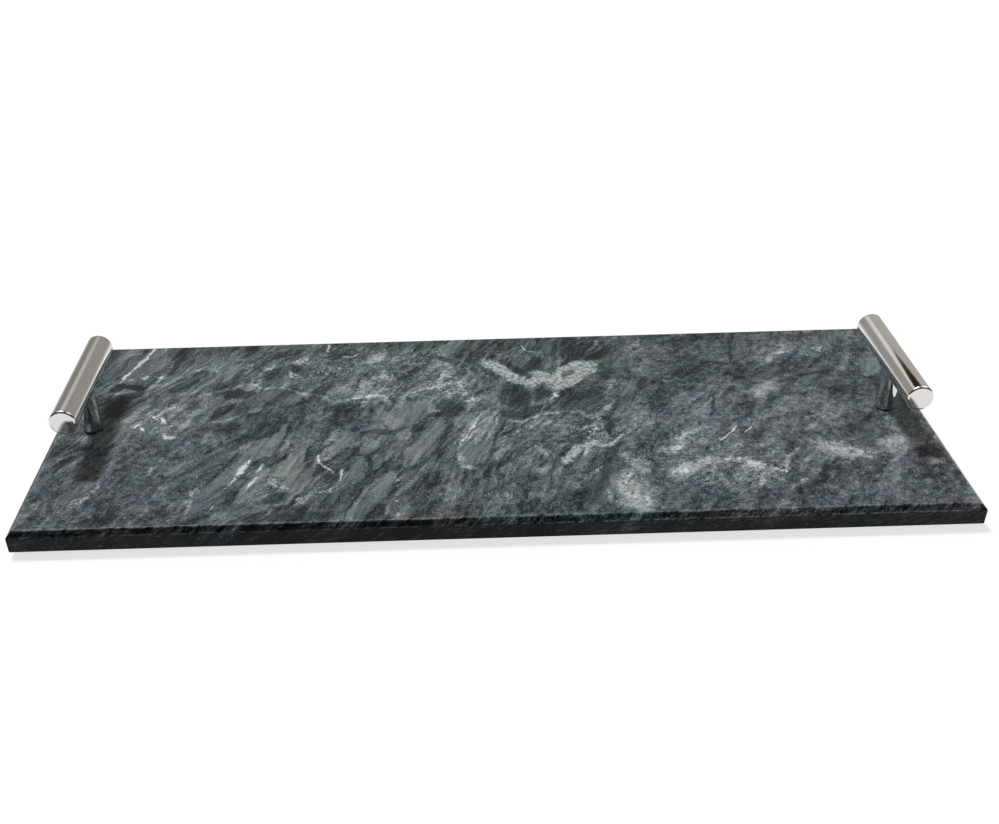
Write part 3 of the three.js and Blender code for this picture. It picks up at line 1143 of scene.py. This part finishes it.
def grey_marble():
    """Dark blue-grey marble: layered ground, calm lenses, dark patches, pale veins and white crumbs."""
    finish, tree, shader = new_finish("grey_marble")
    at = places_on_slab(tree)
    stone = stone_patterns(tree, at)
    tone, milk = marked_tone(tree, at, stone, ground_tone(tree, at, stone))
    hue = noise(tree, at.place, HUE_SIZE, 2.0).outputs[0]
    colour = stone_colour(tree, at, tone, milk, hue)
    colour, edge = edge_colour(tree, at, stone, tone, hue, colour)
    tree.links.new(colour, shader.inputs["Base Color"])
    honed = ease(tree, stone.mottle, 0.3, 0.7, 0.38, 0.48)
    tree.links.new(mix(tree, edge, honed, 0.18), shader.inputs["Roughness"])
    shader.inputs["Specular IOR Level"].default_value = 0.12
    bump = {"Height": stone.mottle, "Strength": 0.05, "Distance": 0.0001}
    tree.links.new(add_node(tree, "ShaderNodeBump", bump).outputs[0], shader.inputs["Normal"])
    return finish


# How much light the plating gives back: on the two handles' round sides and on the bars' flat ends. The
# lower value on the left handle's sides is a painted dimmer reflection.
LEFT_SIDE_BRIGHTNESS = 0.53
RIGHT_SIDE_BRIGHTNESS = 0.74
END_BRIGHTNESS = 0.72
PLATING_TINTS = ((1.02, 0.995, 0.96, 1.0), (0.98, 0.955, 0.925, 1.0))


def polished_plating():
    """Warm polished plating with faint smears; a painted dimmer reflection darkens the left handle's
    round sides but for its inner flank.
    """
    finish, tree, shader = new_finish("polished_plating")
    place = millimetres(tree)
    smears = noise(tree, place, 14.0, 3.0, 0.6, 0.8).outputs[0]
    polish = noise(tree, vector_calc(tree, "MULTIPLY", place, (1.0, 0.06, 1.0)), 0.6, 2.0).outputs[0]
    shader.inputs["Metallic"].default_value = 1.0
    across = add_node(tree, "ShaderNodeSeparateXYZ", {0: place}).outputs[0]
    normal = add_node(tree, "ShaderNodeNewGeometry").outputs["Normal"]
    facing = add_node(tree, "ShaderNodeSeparateXYZ", {0: normal}).outputs
    # Painted dimmer reflection: the left handle's round sides get a darker colour, its inner flank and
    # the flat ends do not
    dimmer_reflection = ease(tree, across, 150.0, -150.0)
    dimmer_reflection = calc(tree, "MULTIPLY", dimmer_reflection, ease(tree, facing[0], 0.93, 0.84))
    round_side = mix(tree, dimmer_reflection, RIGHT_SIDE_BRIGHTNESS, LEFT_SIDE_BRIGHTNESS)
    endward = calc(tree, "ABSOLUTE", facing[1])
    brightness = mix(tree, ease(tree, endward, 0.6, 0.98), round_side, END_BRIGHTNESS)
    tint = vector_calc(tree, "MULTIPLY", mix_colour(tree, smears, *PLATING_TINTS), brightness)
    tree.links.new(tint, shader.inputs["Base Color"])
    tree.links.new(ease(tree, smears, 0.3, 0.7, 0.05, 0.08), shader.inputs["Roughness"])
    bump = {"Height": polish, "Strength": 0.02, "Distance": 0.00005}
    tree.links.new(add_node(tree, "ShaderNodeBump", bump).outputs[0], shader.inputs["Normal"])
    return finish


def zinc_plate():
    """Dull zinc plate on the screws, washers and studs."""
    finish, tree, shader = new_finish("zinc_plate")
    place = millimetres(tree)
    bloom = noise(tree, place, 2.0, 4.0, 0.6).outputs[0]
    shader.inputs["Metallic"].default_value = 1.0
    tint = mix_colour(tree, bloom, (0.40, 0.41, 0.42, 1.0), (0.56, 0.57, 0.57, 1.0))
    tree.links.new(tint, shader.inputs["Base Color"])
    tree.links.new(ease(tree, bloom, 0.3, 0.7, 0.28, 0.45), shader.inputs["Roughness"])
    return finish


def black_rubber():
    """Matt black rubber on the feet and gaskets."""
    finish, tree, shader = new_finish("black_rubber")
    place = millimetres(tree)
    skin = noise(tree, place, 0.5, 3.0, 0.6).outputs[0]
    tint = mix_colour(tree, skin, (0.010, 0.010, 0.011, 1.0), (0.022, 0.022, 0.023, 1.0))
    tree.links.new(tint, shader.inputs["Base Color"])
    tree.links.new(ease(tree, skin, 0.3, 0.7, 0.6, 0.8), shader.inputs["Roughness"])
    bump = {"Height": skin, "Strength": 0.3, "Distance": 0.0001}
    tree.links.new(add_node(tree, "ShaderNodeBump", bump).outputs[0], shader.inputs["Normal"])
    return finish


# Stage

FLOOR_HALF_SIZE = 20.0
FLOOR_GREYS = ((0.15, 0.15, 0.15, 1.0), (0.32, 0.32, 0.32, 1.0))
FLOOR_GLOWS = ((0.0, 0.0, 0.0, 1.0), (0.73, 0.73, 0.73, 1.0))

KEY_STRENGTH = 2.3
KEY_SPREAD = math.radians(10.0)
KEY_FROM = Vector((-7.5, 9.0, 28.0))
WINDOW_TOWARDS = Vector((-0.23, 0.73, 0.645)).normalized()
ROOM_TINT = (1.01, 0.985, 0.945)
# The lit strips overhead that the metal mirrors, as angles from straight up towards the right
STRIPS = ((-0.68, 0.06), (0.38, 0.92))
STRIP_EDGE = 0.05
STRIP_STRENGTH = 1.6
# The dark flag high behind the tray that the right bar mirrors as a wedge
FLAG_COLOUR = (0.030, 0.020, 0.010, 1.0)
FLAG_TIP_HEIGHT = 0.586
FLAG_TURN = 0.05
FLAG_WIDENING = 9.0
WHITE = (1.0, 1.0, 1.0, 1.0)

CAMERA_PLACE = (-0.02242, -0.51388, 0.33912)
CAMERA_TURN = (56.466, 1.089, -1.366)
CAMERA_LENS = 41.589
CAMERA_SHIFT = (0.041, 0.0297)


def pale_floor():
    """A wide pale floor: white to the camera, and dimmer to the metal behind the tray and at its left."""
    shape = bmesh.new()
    bmesh.ops.create_grid(shape, x_segments=1, y_segments=1, size=FLOOR_HALF_SIZE)
    floor = as_object("floor", shape)
    finish, tree, shader = new_finish("pale_floor")
    seen = add_node(tree, "ShaderNodeLightPath").outputs
    direct = calc(tree, "MAXIMUM", seen["Is Camera Ray"], seen["Is Glossy Ray"])
    direct = calc(tree, "MAXIMUM", direct, seen["Is Transmission Ray"])
    place = add_node(tree, "ShaderNodeTexCoord").outputs["Object"]
    spot = add_node(tree, "ShaderNodeSeparateXYZ", {0: place}).outputs
    behind = ease(tree, spot[1], 0.09, 0.38, 1.0, 0.36)
    beside = ease(tree, spot[0], -0.205, -0.235)
    beside = calc(tree, "MULTIPLY", beside, ease(tree, spot[0], -0.275, -0.255))
    beside = calc(tree, "MULTIPLY", beside, ease(tree, spot[1], -0.085, -0.05))
    mirrored = mix(tree, beside, behind, 0.18)
    white = calc(tree, "MULTIPLY", direct, mix(tree, seen["Is Glossy Ray"], 1.0, mirrored))
    tree.links.new(mix_colour(tree, white, *FLOOR_GREYS), shader.inputs["Base Color"])
    tree.links.new(mix_colour(tree, white, *FLOOR_GLOWS), shader.inputs["Emission Color"])
    shader.inputs["Emission Strength"].default_value = 1.0
    shader.inputs["Roughness"].default_value = 1.0
    shader.inputs["Specular IOR Level"].default_value = 0.0
    floor.data.materials.append(finish)


def key_light():
    """One soft key light from behind on the left."""
    key = bpy.data.lights.new("key_light", "SUN")
    key.energy = KEY_STRENGTH
    key.angle = KEY_SPREAD
    lamp = bpy.data.objects.new("key_light", key)
    lamp.rotation_euler = KEY_FROM.to_track_quat("Z", "Y").to_euler()
    bpy.context.scene.collection.objects.link(lamp)


def studio_room():
    """A warm grey room, darker in front, with what the metal mirrors; white to the camera."""
    world = bpy.data.worlds.new("room")
    world.use_nodes = True
    bpy.context.scene.world = world
    tree = world.node_tree
    towards = add_node(tree, "ShaderNodeTexCoord").outputs["Generated"]
    aim = add_node(tree, "ShaderNodeSeparateXYZ", {0: towards}).outputs
    seen = add_node(tree, "ShaderNodeLightPath").outputs
    walls = ease(tree, aim[1], -0.3, 0.6, 0.05, 0.46)
    walls = calc(tree, "MULTIPLY", walls, ease(tree, aim[0], -0.6, 0.15, 0.77, 1.05))
    ceiling = ease(tree, aim[1], -0.5, 0.3, 0.10, 0.35)
    room = mix(tree, ease(tree, aim[2], 0.55, 0.9), walls, ceiling)
    closeness = vector_calc(tree, "DOT_PRODUCT", towards, tuple(WINDOW_TOWARDS))
    room = calc(tree, "ADD", room, ease(tree, closeness, 0.950, 1.0, 0.0, 0.45))

    turn = calc(tree, "ARCTAN2", aim[0], aim[2])
    overhead = calc(tree, "MULTIPLY", ease(tree, aim[1], -0.25, -0.12), ease(tree, aim[1], 0.72, 0.60))
    mirrored = calc(tree, "MULTIPLY", overhead, seen["Is Glossy Ray"])
    for start, end in STRIPS:
        strip = ease(tree, turn, start - STRIP_EDGE, start + STRIP_EDGE)
        strip = calc(tree, "MULTIPLY", strip, ease(tree, turn, end + STRIP_EDGE, end - STRIP_EDGE))
        strip = calc(tree, "MULTIPLY", strip, mirrored)
        room = calc(tree, "ADD", room, calc(tree, "MULTIPLY", strip, STRIP_STRENGTH))

    squared = calc(tree, "ADD", calc(tree, "POWER", aim[0], 2.0), calc(tree, "POWER", aim[2], 2.0))
    from_tip = calc(tree, "SUBTRACT", calc(tree, "SQRT", squared), FLAG_TIP_HEIGHT)
    widening = calc(tree, "MULTIPLY", from_tip, FLAG_WIDENING)
    aside = calc(tree, "POWER", calc(tree, "SUBTRACT", turn, FLAG_TURN), 2.0)
    flag = ease(tree, calc(tree, "SUBTRACT", widening, aside), 0.0, 0.04)
    flag = calc(tree, "MULTIPLY", flag, ease(tree, aim[1], 0.66, 0.70))
    tint = mix_colour(tree, flag, vector_calc(tree, "MULTIPLY", ROOM_TINT, room), FLAG_COLOUR)
    tint = mix_colour(tree, seen["Is Camera Ray"], tint, WHITE)
    tree.links.new(tint, tree.nodes["Background"].inputs["Color"])


def photo_camera():
    """The photograph's viewpoint."""
    view = bpy.data.cameras.new("camera")
    view.sensor_width = 36.0
    view.lens = CAMERA_LENS
    view.shift_x, view.shift_y = CAMERA_SHIFT
    view.clip_start = 0.01
    camera = bpy.data.objects.new("camera", view)
    camera.location = CAMERA_PLACE
    camera.rotation_euler = tuple(math.radians(angle) for angle in CAMERA_TURN)
    bpy.context.scene.collection.objects.link(camera)
    bpy.context.scene.camera = camera


photo_camera()
pale_floor()
key_light()
studio_room()

marble = grey_marble()
plating = polished_plating()
zinc = zinc_plate()
rubber = black_rubber()

stone_slab(marble)
for side in SIDES:
    handle_bar(side, plating)
    handle_post(side, plating)
    joining_stud(side, zinc)
    post_gasket(side, rubber)
    screw_washer(side, zinc)
    fixing_screw(side, zinc)
for corner in CORNERS:
    bumper_foot(corner, rubber)

bpy.context.scene.view_settings.view_transform = "Standard"
